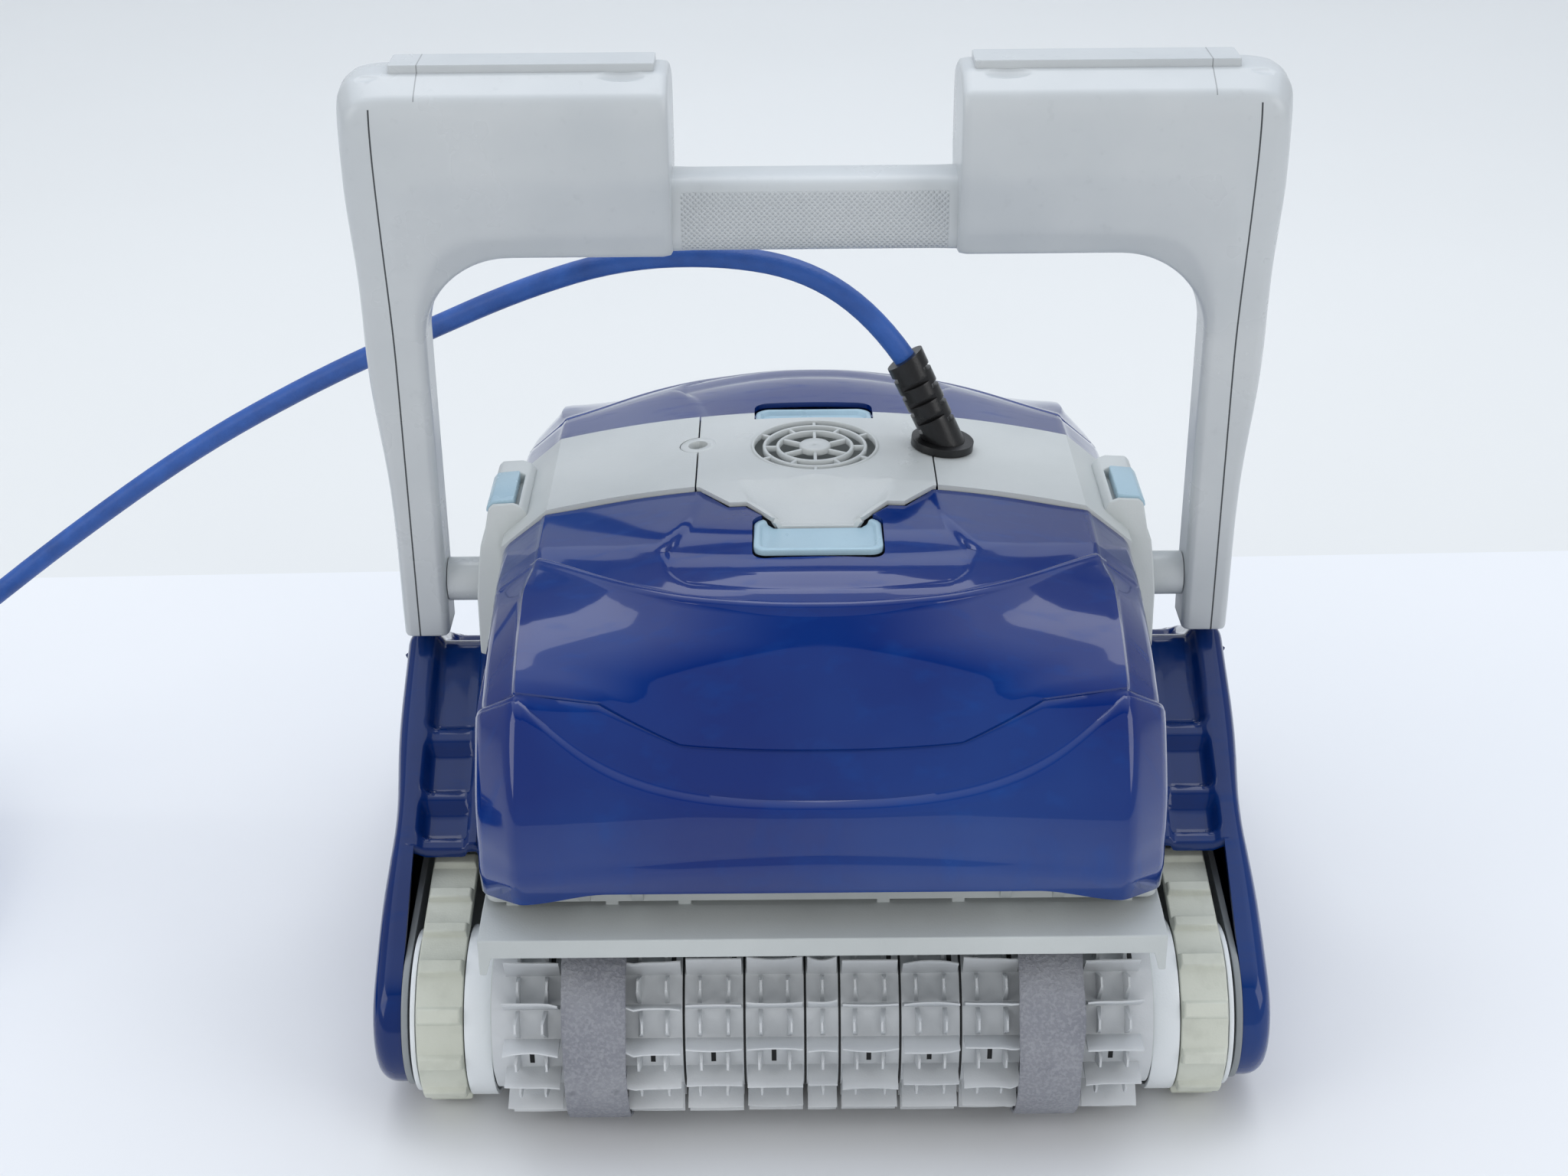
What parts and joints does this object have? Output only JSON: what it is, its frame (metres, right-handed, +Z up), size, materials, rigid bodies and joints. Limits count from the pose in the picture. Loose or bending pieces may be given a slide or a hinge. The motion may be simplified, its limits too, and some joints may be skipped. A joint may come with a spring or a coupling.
{
  "type": "pool cleaner",
  "caption": "Tracked robotic pool cleaner with opening filter covers, roller brushes, a swinging carry handle with floats, and a coiled power cable.",
  "frame": {"origin": "on the floor under the middle of the cleaner, its cable left out", "axes": "+X to its right side, -Y to its front, +Z up"},
  "size_m": [0.954, 0.4238, 0.4615],
  "materials": {
    "light_grey_plastic": "satin",
    "blue_gloss_plastic": "gloss",
    "pale_blue_plastic": "satin",
    "grey_plastic": "satin",
    "white_plastic": "satin",
    "track_rubber": "matt",
    "brush_rubber": "satin",
    "ring_foam": "matt foam",
    "black_plastic": "satin",
    "black_rubber": "matt",
    "blue_cable": "satin",
    "plug_plastic": "satin",
    "steel": "brushed",
    "filter_fabric": "woven",
    "basket_plastic": "satin",
    "float_foam": "closed-cell foam"
  },
  "bodies": {
    "body": {"chassis": "light_grey_plastic", "base_plate": "light_grey_plastic", "brush_guard_front": "light_grey_plastic", "brush_guard_rear": "light_grey_plastic", "top_band_left": "light_grey_plastic", "top_band_right": "light_grey_plastic", "outlet_cover": "light_grey_plastic", "shoulder_left": "light_grey_plastic", "shoulder_right": "light_grey_plastic", "handle_pivots": "light_grey_plastic", "side_cover_left": "blue_gloss_plastic", "side_cover_right": "blue_gloss_plastic", "side_plate_left": "grey_plastic", "side_plate_right": "grey_plastic", "wheel_axles": "grey_plastic", "drive_bushes": "white_plastic", "track_left": "track_rubber", "track_right": "track_rubber", "motor_unit": "black_plastic", "outlet_duct": "black_plastic", "cable_gland": "black_rubber", "strain_relief": "black_rubber", "cover_seal": "black_rubber", "cable": "blue_cable", "cable_coil": "blue_cable", "cable_plug": "plug_plastic", "cover_hinge_pins": "steel", "case_screws": "steel", "filter_panels_front": "filter_fabric", "filter_panels_rear": "filter_fabric", "filter_basket_front": "basket_plastic", "filter_basket_rear": "basket_plastic"},
    "handle": {"handle_frame": "light_grey_plastic", "handle_shell_left": "light_grey_plastic", "handle_shell_right": "light_grey_plastic", "float_lids": "light_grey_plastic", "float_blocks": "float_foam"},
    "filter_cover_front": {"cover_front": "blue_gloss_plastic"},
    "filter_cover_rear": {"cover_rear": "blue_gloss_plastic"},
    "latch_tab_front": {"latch_front": "pale_blue_plastic"},
    "latch_tab_rear": {"latch_rear": "pale_blue_plastic"},
    "button_left": {"release_button_left": "pale_blue_plastic"},
    "button_right": {"release_button_right": "pale_blue_plastic"},
    "drive_left": {"drive_shaft_left": "steel", "drive_pulley_left": "grey_plastic"},
    "drive_right": {"drive_shaft_right": "steel", "drive_pulley_right": "grey_plastic"},
    "wheel_front_left_body": {"wheel_front_left": "white_plastic"},
    "wheel_front_right_body": {"wheel_front_right": "white_plastic"},
    "brush_front": {"brush_core_front": "white_plastic", "brush_sleeve_front": "brush_rubber", "climbing_rings_front": "ring_foam"},
    "wheel_rear_left_body": {"wheel_rear_left": "white_plastic"},
    "wheel_rear_right_body": {"wheel_rear_right": "white_plastic"},
    "brush_rear": {"brush_core_rear": "white_plastic", "brush_sleeve_rear": "brush_rubber", "climbing_rings_rear": "ring_foam"},
    "impeller_body": {"impeller": "black_plastic"},
    "flap_front": {"intake_flap_front": "black_plastic"},
    "flap_rear": {"intake_flap_rear": "black_plastic"}
  },
  "joints": [
    {"name": "handle_swing", "type": "hinge", "parent": "body", "child": "handle", "pos_m": [0, 0, 0.198], "axis": [1, 0, 0], "range_deg": [-25, 70]},
    {"name": "front_cover_hinge", "type": "hinge", "parent": "body", "child": "filter_cover_front", "pos_m": [0, -0.181, 0.139], "axis": [-1, 0, 0], "range_deg": [-70, 0]},
    {"name": "rear_cover_hinge", "type": "hinge", "parent": "body", "child": "filter_cover_rear", "pos_m": [0, 0.181, 0.139], "axis": [-1, 0, 0], "range_deg": [0, 70]},
    {"name": "front_latch_slide", "type": "slide", "parent": "filter_cover_front", "child": "latch_tab_front", "axis": [0, -1, 0], "range_m": [0, 0.003], "stiffness_N_per_m": 600},
    {"name": "rear_latch_slide", "type": "slide", "parent": "filter_cover_rear", "child": "latch_tab_rear", "axis": [0, 1, 0], "range_m": [0, 0.003], "stiffness_N_per_m": 600},
    {"name": "left_button_press", "type": "slide", "parent": "body", "child": "button_left", "axis": [1, 0, 0], "range_m": [0, 0.002], "stiffness_N_per_m": 500},
    {"name": "right_button_press", "type": "slide", "parent": "body", "child": "button_right", "axis": [-1, 0, 0], "range_m": [0, 0.002], "stiffness_N_per_m": 500},
    {"name": "left_drive_spin", "type": "hinge", "parent": "body", "child": "drive_left", "pos_m": [0, 0, 0.084], "axis": [1, 0, 0], "continuous": true},
    {"name": "right_drive_spin", "type": "hinge", "parent": "body", "child": "drive_right", "pos_m": [0, 0, 0.084], "axis": [1, 0, 0], "continuous": true},
    {"name": "front_left_wheel_spin", "type": "hinge", "parent": "body", "child": "wheel_front_left_body", "pos_m": [0, -0.15, 0.043], "axis": [1, 0, 0], "continuous": true},
    {"name": "front_right_wheel_spin", "type": "hinge", "parent": "body", "child": "wheel_front_right_body", "pos_m": [0, -0.15, 0.043], "axis": [1, 0, 0], "continuous": true},
    {"name": "front_brush_spin", "type": "hinge", "parent": "body", "child": "brush_front", "pos_m": [0, -0.1604, 0.052], "axis": [1, 0, 0], "continuous": true},
    {"name": "rear_left_wheel_spin", "type": "hinge", "parent": "body", "child": "wheel_rear_left_body", "pos_m": [0, 0.15, 0.043], "axis": [1, 0, 0], "continuous": true},
    {"name": "rear_right_wheel_spin", "type": "hinge", "parent": "body", "child": "wheel_rear_right_body", "pos_m": [0, 0.15, 0.043], "axis": [1, 0, 0], "continuous": true},
    {"name": "rear_brush_spin", "type": "hinge", "parent": "body", "child": "brush_rear", "pos_m": [0, 0.1604, 0.052], "axis": [1, 0, 0], "continuous": true},
    {"name": "impeller_spin", "type": "hinge", "parent": "body", "child": "impeller_body", "pos_m": [0, 0, 0.2], "axis": [0, 0, 1], "continuous": true},
    {"name": "front_flap_hinge", "type": "hinge", "parent": "body", "child": "flap_front", "pos_m": [0, -0.051, 0.0214], "axis": [-1, 0, 0], "range_deg": [0, 55]},
    {"name": "rear_flap_hinge", "type": "hinge", "parent": "body", "child": "flap_rear", "pos_m": [0, 0.051, 0.0214], "axis": [1, 0, 0], "range_deg": [0, 55]}
  ],
  "couplings": [
    {"joint": "front_left_wheel_spin", "follows": "left_drive_spin", "ratio": 0.72829},
    {"joint": "front_right_wheel_spin", "follows": "right_drive_spin", "ratio": 0.72829},
    {"joint": "front_brush_spin", "follows": "left_drive_spin", "ratio": 1.1734},
    {"joint": "rear_left_wheel_spin", "follows": "left_drive_spin", "ratio": 0.72829},
    {"joint": "rear_right_wheel_spin", "follows": "right_drive_spin", "ratio": 0.72829},
    {"joint": "rear_brush_spin", "follows": "left_drive_spin", "ratio": 1.1734}
  ]
}
